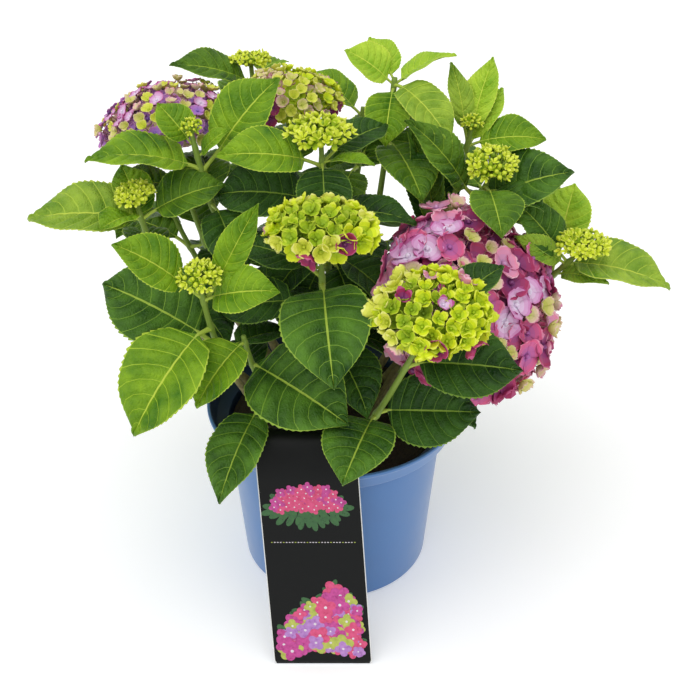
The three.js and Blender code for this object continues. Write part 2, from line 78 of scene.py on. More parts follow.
for giver, out, taker, into in (
    (place, "Object", cloud, "Vector"), (given, "Scale", cloud, "Scale"),
    (cloud, "Fac", patches, "Value"), (patches, "Result", blend, "Factor"),
    (given, "Dark", blend, "A"), (given, "Light", blend, "B"),
    (cloud, "Fac", spread, "Value"), (given, "Smooth", spread, "To Min"),
    (given, "Rough", spread, "To Max"), (blend, "Result", taken, "Color"),
    (spread, "Result", taken, "Roughness"), (cloud, "Fac", taken, "Height"),
):
    mottle.links.new(giver.outputs[out], taker.inputs[into])


def surface(name, dark, light, scale, rough, bump, plain=False, **sockets):
    """A mottled material, its roughness a range; a plain one has the light colour alone."""
    material = bpy.data.materials.new(name)
    material.use_nodes = True
    tree = material.node_tree
    shader = tree.nodes["Principled BSDF"]
    group = tree.nodes.new("ShaderNodeGroup")
    group.node_tree = mottle
    group.inputs["Dark"].default_value = linear(*dark)
    group.inputs["Light"].default_value = linear(*light)
    group.inputs["Scale"].default_value = scale
    group.inputs["Smooth"].default_value, group.inputs["Rough"].default_value = rough
    relief = tree.nodes.new("ShaderNodeBump")
    relief.inputs["Strength"].default_value = 1
    relief.inputs["Distance"].default_value = bump
    if plain:
        shader.inputs["Base Color"].default_value = linear(*light)
    else:
        tree.links.new(group.outputs["Color"], shader.inputs["Base Color"])
    tree.links.new(group.outputs["Roughness"], shader.inputs["Roughness"])
    tree.links.new(group.outputs["Height"], relief.inputs["Height"])
    tree.links.new(relief.outputs["Normal"], shader.inputs["Normal"])
    for socket, value in sockets.items():
        shader.inputs[socket.replace("_", " ")].default_value = value
    return material


def placed(name, data):
    """A new object in the scene."""
    made = bpy.data.objects.new(name, data)
    bpy.context.scene.collection.objects.link(made)
    return made


def hang(name, data, materials, nodes):
    """A finished mesh as a piece of the plant that stands for its solids."""
    for material in materials:
        data.materials.append(material)
    data.shade_smooth()
    piece = placed(name, data)
    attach(piece, "root")
    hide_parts(*nodes)
    return piece


def finished(work, name):
    """A worked mesh as an object's data."""
    data = bpy.data.meshes.new(name)
    work.to_mesh(data)
    work.free()
    return data


def turned(name, line, rounding, steps):
    """A profile rounded at its corners and spun about the upright axis into a closed shell."""
    work = bmesh.new()
    corners = [work.verts.new((reach, 0, height)) for reach, height in line]
    for lower, upper in zip(corners, corners[1:]):
        work.edges.new((lower, upper))
    bmesh.ops.bevel(
        work, geom=corners[1:-1], offset=rounding, segments=3, profile=0.5,
        affect="VERTICES", material=-1, clamp_overlap=True,
    )
    bmesh.ops.spin(
        work, geom=work.verts[:] + work.edges[:], cent=(0, 0, 0), axis=(0, 0, 1),
        angle=2 * math.pi, steps=steps, use_merge=True,
    )
    bmesh.ops.remove_doubles(work, verts=work.verts, dist=1e-6)
    bmesh.ops.recalc_face_normals(work, faces=work.faces)
    return finished(work, name)


pot_plastic = surface(
    "matt_blue_plastic", (68, 116, 175), (75, 123, 181), 30, (0.42, 0.55), 0.00004,
    Sheen_Weight=0.35, Sheen_Roughness=0.4,
)
pot_inside = surface("shaded_blue_plastic", (30, 52, 92), (38, 62, 106), 30, (0.45, 0.6), 0.00004)
pot_data = turned("pot_shell", POT_LINE, rounding=0.0009, steps=144)
for face in pot_data.polygons:
    outwards = face.normal.x * face.center.x + face.normal.y * face.center.y
    face.material_index = int(outwards < -1e-4)
hang("pot_shell", pot_data, [pot_plastic, pot_inside], ["pot"])


# The soil: dark peat compost with bark crumbs, filling the pot to 2 cm below its rim. It was
# poured in round the roots and has settled into a loose, uneven surface.
SOIL_EDGE, SOIL_TOP, SOIL_RINGS = 0.0925, 0.146, 26
CRUMB_DEPTH, CRUMB_SIZES = 0.0012, ((260, 0.0011), (90, 0.0016))
soil_line = [(0, 0.0026), (0.0829, 0.0026), (0.0945, 0.141), (SOIL_EDGE, 0.1452)]
soil_line += [(SOIL_EDGE * (1 - k / SOIL_RINGS), SOIL_TOP) for k in range(1, SOIL_RINGS + 1)]
soil_data = turned("soil_surface", soil_line, rounding=0.0004, steps=110)
for vertex in soil_data.vertices:
    spot = vertex.co
    if spot.z > SOIL_TOP - CRUMB_DEPTH:
        crumbs = sum(noise.noise(spot * scale) * height for scale, height in CRUMB_SIZES)
        spot.z = SOIL_TOP - CRUMB_DEPTH + min(crumbs, CRUMB_DEPTH)
peat = surface("dark_peat", (20, 14, 11), (58, 43, 33), 420, (0.85, 1.0), 0.0009)
hang("soil_surface", soil_data, [peat], ["soil"])


# The label: a glossy black card with a white core, bent over the pot's rim and pushed into the
# soil behind it. Its print is our own: a heap and a dome of small blossoms and leaves, and dots.
CARD_WIDTH, CARD_THICKNESS, CARD_SIDE, CARD_LEAN = 0.085, 0.0009, -0.021, math.radians(4)
CARD_ROWS, BEND_ROWS, INSIDE_ROWS, CARD_COLUMNS = 60, 8, 4, 110
WHITE_EDGE, FOOT_TRIM, RIM_HEIGHT = 0.495, 0.965, 0.17
CARD_FOOT, CARD_RIM = Vector((-0.166, 0.0015)), Vector((-0.1175, RIM_HEIGHT))
CARD_TOP, FRONT_PULL, BACK_PULL = (Vector((reach, 0.203)) for reach in (-0.096, -0.106, -0.082))
CARD_INSIDE, CARD_END = Vector((-0.076, 0.174)), Vector((-0.072, 0.1464))


def bow(start, pull, end, share):
    """A point on the curve from start to end that pull draws towards itself."""
    return start * (1 - share) ** 2 + pull * 2 * share * (1 - share) + end * share * share


card_line = [CARD_FOOT.lerp(CARD_RIM, k / CARD_ROWS) for k in range(CARD_ROWS)]
for start, pull, end in ((CARD_RIM, FRONT_PULL, CARD_TOP), (CARD_TOP, BACK_PULL, CARD_INSIDE)):
    card_line += [bow(start, pull, end, k / BEND_ROWS) for k in range(BEND_ROWS)]
card_line += [CARD_INSIDE.lerp(CARD_END, k / INSIDE_ROWS) for k in range(INSIDE_ROWS + 1)]


def on_card(across, row, proud=0.0):
    """A point across the card at a row of its line, raised off its face."""
    low = min(int(row), len(card_line) - 2)
    reach, height = card_line[low].lerp(card_line[low + 1], row - low)
    step = (card_line[low + 1] - card_line[low]).normalized()
    side = CARD_SIDE + (RIM_HEIGHT - height) * math.tan(CARD_LEAN)
    return Vector((side + across, reach - step.y * proud, height + step.x * proud))


card = bmesh.new()
bmesh.ops.create_grid(card, x_segments=CARD_COLUMNS, y_segments=len(card_line) - 1, size=0.5)
for face in card.faces:
    face.material_index = int(abs(face.calc_center_median().x) > WHITE_EDGE)
for vertex in card.verts:
    row = round((vertex.co.y + 0.5) * (len(card_line) - 1))
    trim = FOOT_TRIM if row == 0 else 1
    vertex.co = on_card(vertex.co.x * CARD_WIDTH * trim, row)
bmesh.ops.recalc_face_normals(card, faces=card.faces)
card_data = finished(card, "plant_label")
if card_data.polygons[0].normal.y > 0:
    card_data.flip_normals()
card_black = surface(
    "glossy_black_card", (6, 8, 8), (10, 12, 12), 60, (0.34, 0.44), 0.00003,
    Specular_IOR_Level=0.2,
)
card_white = surface("white_card_edge", (215, 215, 212), (238, 238, 235), 200, (0.5, 0.6), 0.00002)
card_piece = hang("plant_label", card_data, [card_black, card_white], ["label"])
board = card_piece.modifiers.new("board", "SOLIDIFY")
board.thickness, board.offset, board.material_offset_rim = CARD_THICKNESS, 0, 1

ROW_LENGTH, INK_LIFT, INK_LAYER = 0.1753 / CARD_ROWS, 0.00004, 0.000004
LEAF_GREEN, LILAC, ROSE, MAGENTA, LIME, WHITE = range(6)
printed = bmesh.new()


def print_spot(across, up, length, width, turn, ink, layer=0):
    """A rounded spot of ink, its middle given in millimetres from the card's foot and midline."""
    made = bmesh.ops.create_circle(printed, cap_ends=True, radius=0.5, segments=12)
    cosine, sine = math.cos(math.radians(turn)), math.sin(math.radians(turn))
    for vertex in made["verts"]:
        x, y = vertex.co.x * length, vertex.co.y * width
        vertex.co = on_card(
            (across + x * cosine - y * sine) / 1000,
            (up + x * sine + y * cosine) / 1000 / ROW_LENGTH,
            CARD_THICKNESS / 2 + INK_LIFT + INK_LAYER * layer,
        )
    for face in {face for vertex in made["verts"] for face in vertex.link_faces}:
        face.material_index = ink


def print_blossom(across, up, size, turn, ink, layer):
    """Four overlapping petals of ink round a white eye."""
    for k in range(4):
        heading_out = turn + 90 * k
        print_spot(
            across + size * 0.27 * math.cos(math.radians(heading_out)),
            up + size * 0.27 * math.sin(math.radians(heading_out)),
            size * 0.5, size * 0.46, heading_out, ink, layer + 0.25 * k,
        )
    print_spot(across, up, size * 0.15, size * 0.15, 0, WHITE, layer + 1)


press = random.Random(5)
HEAP_BLOSSOMS, DOME_BLOSSOMS, DOTS = 110, 60, 29
DOME_MIDDLE, DOME_FOOT, DOTS_HEIGHT = 152, 146, 116
for k in range(HEAP_BLOSSOMS):
    across, rise = press.uniform(-33, 34), press.random() ** 1.2
    up = 11 + rise * (40 + 22 * math.cos(math.radians(across * 3 - 40)))
    length, width, turn = press.uniform(11, 18), press.uniform(5, 8), press.uniform(0, 180)
    print_spot(across, up + 3, length, width, turn, LEAF_GREEN, k / HEAP_BLOSSOMS)
    ink = press.choice([LILAC, ROSE, ROSE, MAGENTA, MAGENTA, MAGENTA, LIME])
    print_blossom(across, up, press.uniform(10, 19), press.uniform(0, 90), ink, 2 + k)
for k in range(DOME_BLOSSOMS):
    angle = k * 2.4
    reach = 3.3 * math.sqrt(k)
    across, up = -2 + reach * 1.15 * math.cos(angle), DOME_MIDDLE + reach * 0.62 * math.sin(angle)
    print_spot(across * 1.2, up - 5, 11, 5.5, math.degrees(angle), LEAF_GREEN, k / DOME_BLOSSOMS)
    if up > DOME_FOOT:
        ink = press.choice([ROSE, ROSE, MAGENTA])
        print_blossom(across, up, 9, math.degrees(angle), ink, 2 + k)
for k in range(DOTS):
    print_spot(-35 + 2.5 * k, DOTS_HEIGHT, 1.5, 0.8, 0, WHITE if k % 4 else LIME)
print_data = finished(printed, "plant_label_print")
if print_data.polygons[0].normal.y > 0:
    print_data.flip_normals()
inks = [
    surface(name, shade, light, 300, (0.25, 0.36), 0.00001)
    for name, shade, light in (
        ("ink_leaf_green", (35, 80, 40), (52, 104, 50)), ("ink_lilac", (150, 95, 170), (190, 140, 205)),
        ("ink_rose", (190, 50, 96), (222, 84, 134)), ("ink_magenta", (160, 40, 116), (208, 76, 158)),
        ("ink_lime", (150, 165, 60), (190, 196, 90)), ("ink_white", (200, 190, 200), (232, 226, 230)),
    )
]
hang("plant_label_print", print_data, inks, ["label"])


# The shoots: each is one curved stem from the soil to its tip, a woody cane below and green above,
# with its leaves in the places the plant carries them and, on most, a flower head at the end.
MM = 0.001
FOOT_LEVEL = 146.3


def leaf(at, turn, rise, length, green, bend=30, roll=0, stalk=14, width=0.68):
    """A leaf at a share of its shoot: angles in degrees, lengths in mm, width as a share of length."""
    return dict(
        at=at, turn=turn, rise=rise, length=length, green=green, bend=bend, roll=roll, stalk=stalk,
        width=width,
    )


def pair(at, turn, rise, length, green, **more):
    """Two leaves that face each other across the shoot."""
    return [leaf(at, way, rise, length, green, **more) for way in (turn, turn + 180)]


SHOOTS = [dict(
    name="front", foot=(-6, -24), bend=(-8, -46, 240), tip=(-9, -50, 357), cane_end=0.5,
    head=dict(kind="ripe", colour="lime", radii=(48, 36, 16), turn=-90, rise=80, florets=52, size=23),
    leaves=[
        leaf(0.82, -84, -22, 97, "deep", stalk=10, width=0.8, bend=40, roll=-8),
        leaf(0.85, 150, 2, 64, "dark", roll=20),
        leaf(0.7, 172, -14, 70, "dark", stalk=22, roll=30),
        leaf(0.7, -8, -22, 48, "dark", stalk=16, roll=-20),
        leaf(0.56, -62, -24, 74, "dark", stalk=14),
        leaf(0.58, -4, -22, 62, "dark", stalk=14, width=0.6),
        leaf(0.52, 128, 0, 66, "dark"),
    ],
), dict(
    name="right_front", foot=(14, -26), bend=(23, -121, 198), tip=(78, -101, 315), cane_end=0.36,
    head=dict(kind="ripe", colour="lime", radii=(50, 40, 17), turn=-86, rise=58, florets=56, size=23),
    leaves=[
        leaf(0.81, -1, -3, 84, "dark", stalk=8, bend=20, roll=-37, width=0.77),
        leaf(0.51, -109, -13, 72, "deep", stalk=8, bend=25, width=0.86),
        leaf(0.53, -6, 3, 78, "dark", stalk=6, bend=15, roll=-48, width=0.84),
        leaf(0.9, 28, 30, 54, "dark", stalk=38, width=0.8),
    ],
), dict(
    name="right", foot=(34, -4), bend=(62, -2, 205), tip=(98, 4, 256), cane_end=0.42,
    head=dict(kind="ripe", colour="pink", radii=(84, 78, 44), turn=-42, rise=40, florets=130, size=31),
    leaves=[
        leaf(0.5, -38, -34, 70, "dark", stalk=16),
        leaf(0.56, 96, 6, 54, "dark", stalk=20),
    ],
), dict(
    name="back_left", foot=(-30, 26), bend=(-116, 90, 225), tip=(-144, 118, 355), cane_end=0.58,
    head=dict(kind="ripe", colour="mauve", radii=(58, 58, 35), turn=150, rise=74, florets=142, size=15.5),
    leaves=[
        leaf(0.85, 170, -5, 58, "mid", roll=10),
        leaf(0.85, 80, -5, 76, "mid"),
        leaf(0.68, 108, 0, 80, "mid"),
        leaf(0.66, -70, -20, 56, "dark"),
    ],
), dict(
    name="back", foot=(-8, 30), bend=(-26, 96, 235), tip=(-41, 122, 380), cane_end=0.58,
    head=dict(kind="ripe", colour="cream", radii=(47, 44, 27), turn=90, rise=80, florets=104, size=16),
    leaves=[
        leaf(0.84, 88, -4, 76, "mid"),
        leaf(0.84, -70, 6, 60, "mid"),
        leaf(0.68, 165, 5, 80, "mid"),
        leaf(0.66, -24, -12, 60, "dark"),
        *pair(0.5, -15, 0, 78, "dark"),
    ],
), dict(
    name="centre", foot=(4, 4), bend=(-4, 22, 260), tip=(-10, 28, 408), cane_end=0.56,
    head=dict(kind="young", colour="lime", radii=(28, 22, 9), turn=-90, rise=82, florets=44, size=12),
    leaves=[
        leaf(0.92, -165, 9, 76, "fresh", roll=26),
        leaf(0.93, -26, 7, 42, "fresh", width=0.45, stalk=6),
        leaf(0.93, -86, -52, 52, "dark", width=0.95, stalk=6),
        leaf(0.93, 39, 8, 58, "dark", roll=-15, bend=20),
        leaf(0.79, 172, 0, 84, "dark", roll=25, width=0.75),
        leaf(0.76, -15, 2, 72, "dark", roll=-8, stalk=8, width=0.58),
        leaf(0.66, -130, -22, 62, "dark"),
        leaf(0.62, -35, -28, 74, "dark"),
        *pair(0.5, 70, 4, 78, "dark"),
        leaf(0.44, 150, 0, 76, "dark"),
        leaf(0.62, -62, -50, 66, "dark", width=0.85),
        leaf(0.6, -122, -50, 66, "dark", width=0.85),
    ],
), dict(
    name="top_left", foot=(-16, 44), bend=(-62, 150, 250), tip=(-76, 175, 412), cane_end=0.6,
    head=dict(kind="young", colour="lime", radii=(20, 16, 7), turn=90, rise=85, florets=36, size=9),
    leaves=[
        leaf(0.95, -160, 20, 75, "mid", stalk=6, roll=22, width=0.62),
        leaf(0.95, 66, -8, 48, "fresh"),
        leaf(0.82, 110, 5, 76, "mid"),
        leaf(0.7, 50, 0, 84, "mid"),
    ],
), dict(
    name="far_left", foot=(-38, 2), bend=(-140, 10, 220), tip=(-165, 18, 356), cane_end=0.55,
    head=dict(kind="young", colour="lime", radii=(20, 17, 9), turn=180, rise=80, florets=44, size=8.5),
    leaves=[
        leaf(0.94, 179, -3, 94, "pale", stalk=3, roll=16, width=0.76),
        leaf(0.94, 13, 16, 64, "mid", stalk=12, roll=-22, width=0.82),
        leaf(0.95, -122, 9, 44, "fresh", stalk=6, width=0.75),
        leaf(0.9, 116, 35, 54, "fresh", stalk=10),
        leaf(0.76, 112, -8, 68, "mid", width=0.62),
        leaf(0.7, -50, -20, 78, "dark"),
        leaf(0.6, 150, -24, 68, "mid"),
        leaf(0.5, 110, -30, 74, "shaded_mid"),
    ],
), dict(
    name="left_front", foot=(-30, -22), bend=(-96, -66, 215), tip=(-104, -78, 334), cane_end=0.52,
    head=dict(kind="young", colour="lime", radii=(17, 17, 11), turn=-90, rise=72, florets=36, size=8.5),
    leaves=[
        leaf(0.94, -168, 40, 66, "fresh", stalk=20, roll=34, width=0.7),
        leaf(0.93, -22, 17, 62, "fresh", stalk=7, roll=-34),
        leaf(0.8, -134, -40, 98, "fresh", stalk=11, roll=8, width=0.82),
        leaf(0.7, 162, 19, 94, "deep", stalk=17, roll=28, width=0.84),
        leaf(0.92, 14, 61, 74, "fresh", stalk=20, roll=-55, width=0.38),
        leaf(0.66, 36, -10, 60, "dark", stalk=12),
    ],
), dict(
    name="upper_left", foot=(-22, 14), bend=(-96, 40, 270), tip=(-118, 45, 406), cane_end=0.56,
    head=dict(kind="young", colour="lime", radii=(9, 8, 8), turn=-90, rise=80, florets=16, size=6.5),
    leaves=[
        leaf(0.95, 150, 40, 40, "fresh", stalk=7, roll=25, width=0.9),
        leaf(0.92, -5, 44, 36, "fresh", stalk=2, roll=-25, width=0.55),
        leaf(0.88, -172, 8, 88, "fresh", stalk=9, roll=8),
        leaf(0.87, 24, 44, 80, "fresh", stalk=22, roll=-26, width=0.74),
        leaf(0.76, 100, 0, 66, "mid"),
        leaf(0.76, -68, -30, 70, "dark"),
    ],
), dict(
    name="right_centre", foot=(38, 14), bend=(106, 92, 236), tip=(134, 58, 360), cane_end=0.6,
    head=dict(kind="young", colour="lime", radii=(26, 22, 15), turn=-60, rise=78, florets=60, size=9),
    leaves=[
        leaf(0.88, -174, 52, 88, "mid", stalk=16, roll=40, width=0.46),
        leaf(0.88, -5, 22, 82, "deep", stalk=4, roll=-30, width=0.84),
        leaf(0.95, -86, -10, 60, "mid", stalk=24, width=0.8, roll=6, bend=20),
        leaf(0.93, -36, -4, 50, "deep", stalk=10, width=0.8, roll=6),
        leaf(0.74, 40, 5, 74, "mid"),
        leaf(0.6, -150, -4, 70, "dark"),
    ],
), dict(
    name="far_right", foot=(54, 2), bend=(146, 86, 184), tip=(213, 20, 308), cane_end=0.58,
    head=dict(kind="young", colour="lime", radii=(24, 18, 9), turn=-90, rise=76, florets=50, size=9.5),
    leaves=[
        leaf(0.92, -15, -7, 88, "pale", stalk=4, roll=-8, width=0.76),
        leaf(0.93, 160, 45, 64, "deep", stalk=8, roll=30, width=0.66),
        leaf(0.86, -30, 5, 46, "pale", stalk=4, roll=-20, width=0.6),
        leaf(0.92, -165, 35, 56, "pale", stalk=4, roll=60, width=0.42),
        leaf(0.84, 66, 44, 62, "bright", stalk=26, width=0.8),
        leaf(0.7, 100, 0, 82, "mid"),
        leaf(0.56, 78, -30, 76, "shaded_mid"),
    ],
), dict(
    name="upper_right", foot=(24, 34), bend=(92, 84, 225), tip=(120, 100, 384), cane_end=0.56,
    head=dict(kind="young", colour="lime", radii=(9, 8, 8), turn=-90, rise=80, florets=16, size=6.5),
    leaves=[
        leaf(0.96, 108, 54, 62, "pale", stalk=10, width=0.4),
        leaf(0.96, 66, 43, 72, "bright", stalk=10, width=0.45),
        leaf(0.95, -6, 6, 60, "fresh", stalk=9, roll=-22, width=0.7),
        leaf(0.94, 50, 36, 58, "bright", stalk=8, width=0.56),
        leaf(0.9, 176, 14, 60, "mid", stalk=8, roll=25),
        leaf(0.67, -165, 74, 98, "mid", roll=70, width=0.34),
        leaf(0.68, 100, 60, 78, "dark", width=0.55),
        leaf(0.62, 116, 52, 74, "dark", width=0.5),
        leaf(0.78, 110, 5, 84, "mid"),
    ],
), dict(
    name="top", foot=(6, 54), bend=(38, 96, 260), tip=(53, 120, 424), cane_end=0.6,
    leaves=[
        leaf(0.98, 172, 34, 46, "bright", stalk=5, roll=25, width=0.95),
        leaf(0.99, 118, 26, 46, "bright", stalk=4),
        leaf(0.98, 11, 23, 54, "bright", stalk=5),
        leaf(0.98, -48, -27, 76, "pale", stalk=6, roll=-14, bend=50, width=0.58),
        leaf(0.97, -100, -38, 54, "fresh", stalk=5, width=0.8),
        leaf(0.9, -18, 2, 38, "mid", stalk=10),
        leaf(0.82, -72, -14, 78, "mid", width=0.72),
        leaf(0.82, 60, 0, 80, "mid"),
        leaf(0.52, -105, 0, 76, "dark"),
        leaf(0.5, -20, 0, 76, "dark"),
    ],
), dict(
    name="front_low", foot=(-26, -42), bend=(-60, -62, 200), tip=(-72, -80, 286), cane_end=0.4,
    leaves=[
        leaf(0.8, -37, -11, 98, "deep", stalk=1, bend=22, roll=-26, width=0.84),
        leaf(0.5, -113, -29, 85, "deep", stalk=24, width=0.62),
        leaf(0.96, -134, -35, 64, "fresh", stalk=2, width=0.95),
        leaf(0.66, 110, -6, 56, "dark"),
    ],
), dict(
    name="rear_left", foot=(-40, 44), bend=(-120, 120, 200), tip=(-158, 160, 274), cane_end=0.5,
    leaves=[
        *pair(0.97, 60, 8, 74, "mid"),
        *pair(0.78, 150, 0, 84, "mid"),
        leaf(0.62, 70, -6, 80, "mid"),
        leaf(0.54, 172, -16, 76, "mid"),
        leaf(0.9, 115, -28, 78, "shaded_mid"),
        leaf(0.7, 75, -34, 80, "shaded_mid"),
        leaf(0.64, -150, -30, 76, "shaded_mid"),
        leaf(0.46, 130, -24, 72, "shaded_mid"),
    ],
), dict(
    name="rear", foot=(8, 72), bend=(14, 146, 230), tip=(26, 168, 375), cane_end=0.55,
    leaves=[
        leaf(0.97, 150, 26, 58, "fresh", stalk=8),
        leaf(0.88, 50, -6, 58, "mid"),
        leaf(0.8, 70, 0, 84, "mid"),
        leaf(0.8, -110, -26, 80, "mid"),
        leaf(0.9, 100, -26, 80, "shaded_mid"),
        leaf(0.68, 150, -28, 82, "shaded_mid"),
        leaf(0.57, 35, -28, 82, "shaded_mid"),
        leaf(0.54, 95, -34, 76, "shaded_mid"),
    ],
), dict(
    name="rear_low", foot=(-12, 76), bend=(-20, 150, 200), tip=(-30, 200, 290), cane_end=0.5,
    leaves=[
        *pair(0.97, 15, 5, 80, "mid"),
        *pair(0.78, 100, -5, 82, "mid", width=0.6),
        leaf(0.6, 20, -14, 76, "mid"),
        leaf(0.56, 150, -12, 74, "mid"),
        leaf(0.88, 95, -40, 76, "shaded_mid"),
        leaf(0.72, 165, -32, 78, "shaded_mid"),
        leaf(0.7, 30, -32, 78, "shaded_mid"),
        leaf(0.5, 85, -30, 70, "shaded_mid"),
    ],
), dict(
    name="rear_right", foot=(44, 52), bend=(120, 130, 200), tip=(150, 160, 290), cane_end=0.5,
    leaves=[
        *pair(0.97, 130, 8, 84, "mid"),
        *pair(0.8, 30, 0, 84, "mid"),
        leaf(0.62, 110, -8, 80, "mid"),
        leaf(0.54, 12, -14, 76, "mid"),
        leaf(0.9, 75, -30, 80, "shaded_mid"),
        leaf(0.86, 5, -24, 66, "shaded_mid"),
        leaf(0.7, 125, -34, 80, "shaded_mid"),
        leaf(0.48, 70, -26, 72, "shaded_mid"),
    ],
)]


def curve_point(shoot, share):
    """A point on a shoot's curve, in metres."""
    foot = Vector((*shoot["foot"], FOOT_LEVEL))
    return bow(foot, Vector(shoot["bend"]), Vector(shoot["tip"]), share) * MM


def heading(turn, rise):
    """The way that a turn about the upright axis and a rise above level point, in degrees."""
    level = math.cos(math.radians(rise))
    return Vector((
        level * math.cos(math.radians(turn)), level * math.sin(math.radians(turn)),
        math.sin(math.radians(rise)),
    ))


class Growth:
    """Points, faces and finishes of many small parts that become one joined mesh."""

    def __init__(self):
        self.points, self.faces, self.finishes = [], [], []

    def sheet(self, rows, finish, closed=False):
        """Joins rows of points; finish is a number or gives one for a row and column."""
        start, width = len(self.points), len(rows[0])
        self.points.extend(point for row in rows for point in row)
        for i in range(len(rows) - 1):
            for j in range(width if closed else width - 1):
                k = (j + 1) % width
                a, b = start + i * width, start + (i + 1) * width
                self.faces.append((a + j, b + j, b + k, a + k))
                self.finishes.append(finish if isinstance(finish, int) else finish(i, j))

    def capped(self, rows, finish):
        """Joins rings of points and closes both ends."""
        start, sides = len(self.points), len(rows[0])
        last = start + (len(rows) - 1) * sides
        self.sheet(rows, finish, closed=True)
        self.faces.append(tuple(range(start, start + sides)))
        self.faces.append(tuple(reversed(range(last, last + sides))))
        self.finishes += [finish] * 2

    def tube(self, path, radii, sides, finish, relief=None):
        """A closed tapering tube along a path."""
        guide = (path[-1] - path[0]).orthogonal()
        rows = []
        for i, middle in enumerate(path):
            ahead = (path[min(i + 1, len(path) - 1)] - path[max(i - 1, 0)]).normalized()
            up = ahead.cross(guide).normalized()
            across = up.cross(ahead)
            ring = []
            for k in range(sides):
                angle = -2 * math.pi * k / sides
                out = across * math.cos(angle) + up * math.sin(angle)
                swell = relief(middle, out) if relief else 0
                ring.append(middle + out * (radii[i] + swell))
            rows.append(ring)
        self.capped(rows, finish)

    def bead(self, middle, axis, radius, finish):
        """A small closed bud of four rings."""
        across = axis.orthogonal().normalized()
        up = axis.cross(across)
        rows = []
        for lift, wide in ((-0.96, 0.28), (-0.5, 0.87), (0.3, 0.95), (0.93, 0.37)):
            rows.append([
                middle + axis * radius * lift + radius * wide * (
                    across * math.cos(-angle) + up * math.sin(-angle)
                )
                for angle in (math.pi * k / 3 for k in range(6))
            ])
        self.capped(rows, finish)

    def mesh(self, name):
        """All that has grown, as one mesh."""
        data = bpy.data.meshes.new(name)
        data.from_pydata(self.points, [], self.faces)
        data.polygons.foreach_set("material_index", self.finishes)
        data.update()
        return data


# The canes: the woody foot of each shoot, mottled tan-green bark with fine furrows and swollen
# joints, flared where it leaves the soil and thinning upwards into the green stem.
CANE_RADIUS, STEM_RADIUS, TIP_RADIUS = 4.2 * MM, 3.0 * MM, 2.1 * MM
CANE_STEPS, CANE_SIDES, FLARE = 34, 16, 0.5
CANE_JOINTS, JOINT_SWELL, JOINT_LENGTH = (0.42, 0.78), 0.16, 0.025


def furrows(middle, out):
    """How far the bark stands out: furrows along the cane, and a finer grain."""
    ridge = noise.noise(Vector((out.x * 3.2, out.y * 3.2, middle.z * 60 + out.z * 3)))
    return ridge * 0.45 * MM + noise.noise((middle + out * 0.004) * 400) * 0.25 * MM


canes = Growth()
for shoot in SHOOTS:
    path = [curve_point(shoot, shoot["cane_end"] * k / CANE_STEPS) for k in range(CANE_STEPS + 1)]
    radii = []
    for k in range(CANE_STEPS + 1):
        share = k / CANE_STEPS
        radius = CANE_RADIUS + (STEM_RADIUS - CANE_RADIUS) * share
        radius *= 1 + FLARE * max(0, 1 - share * 9) ** 2
        for joint in CANE_JOINTS:
            radius *= 1 + JOINT_SWELL * math.exp(-((share - joint) / JOINT_LENGTH) ** 2)
        radii.append(radius)
    canes.tube(path, radii, CANE_SIDES, 0, furrows)
bark = surface("furrowed_green_bark", (88, 78, 50), (142, 134, 84), 300, (0.65, 0.85), 0.0005)
hang(
    "canes", canes.mesh("canes"), [bark], [f"cane_{shoot['name']}" for shoot in SHOOTS],
)


# The green stems: the soft upper part of each shoot with a joint at every leaf, the leaf stalks
# that arch out of those joints, and the rib that each stalk runs on as under its blade.
BLADE_FOLD, STALK_RISE, STEM_CLEARANCE = math.radians(19), 25, 2.6
BLADE_FULLEST, BLADE_ROUND, BLADE_POINTED = 0.84, 0.6, 0.42
LEAF_JOINT, LEAF_JOINT_SWELL = 0.012, 0.3
STEM_STEPS, STEM_SIDES, STALK_STEPS, STALK_SIDES = 40, 10, 8, 6
RIB_STEPS, RIB_START, RIB_RUN = 12, 0.03, 0.87
GREEN_STEM, LEAF_STALK, LIME_STALK, ROSY_STALK = range(4)


def leaf_frame(shoot, shape):
    """Where a leaf's stalk leaves the stem, where its blade starts, its chord and its face."""
    root = curve_point(shoot, shape["at"])
    base = root + heading(shape["turn"], shape["rise"] * 0.5 + STALK_RISE) * (
        (shape["stalk"] + STEM_CLEARANCE) * MM
    )
    chord = heading(shape["turn"], shape["rise"])
    level = heading(shape["turn"], shape["rise"] + 90)
    roll = math.radians(shape["roll"])
    face = level * math.cos(roll) + level.cross(chord) * math.sin(roll)
    return root, base, chord, face


def blade_half(share):
    """Half a blade's width at a share of its length: full to its middle, then a drawn-out point."""
    share = min(max(share, 0), 1)
    late = 2 * max(0, share - 0.5)
    power = BLADE_ROUND + BLADE_POINTED * late * late * (3 - 2 * late)
    return 0.5 * max(0, math.sin(math.pi * share ** BLADE_FULLEST)) ** power


def blade_point(shape, held, along, across, above=0.0):
    """A point on the blade: along its length, across it from -1 to 1, and above its sheet."""
    _, base, chord, face = held
    bend, length = math.radians(shape["bend"]), shape["length"] * MM
    turned_down = bend * (0.5 - along)
    ahead = chord * math.cos(turned_down) + face * math.sin(turned_down)
    up = face * math.cos(turned_down) - chord * math.sin(turned_down)
    side = up.cross(ahead)
    reach = (math.sin(bend / 2) - math.sin(turned_down)) / bend
    rise = (math.cos(turned_down) - math.cos(bend / 2)) / bend
    half = blade_half(along) * shape["width"] * length * across
    sweep = shape["sweep"] * length * along ** 2
    lift = shape["twist"] * half * along - shape["curl"] * length * along ** 4
    return (
        base + chord * length * reach + face * length * rise
        + side * (half * math.cos(BLADE_FOLD) + sweep)
        + up * (abs(half) * math.sin(BLADE_FOLD) + lift + above)
    )


sway = random.Random(11)
for shape in (shape for shoot in SHOOTS for shape in shoot["leaves"]):
    shape["sweep"] = sway.uniform(-0.03, 0.03)
    shape["twist"] = sway.uniform(-0.25, 0.25)
    shape["curl"] = sway.uniform(-0.01, 0.05)

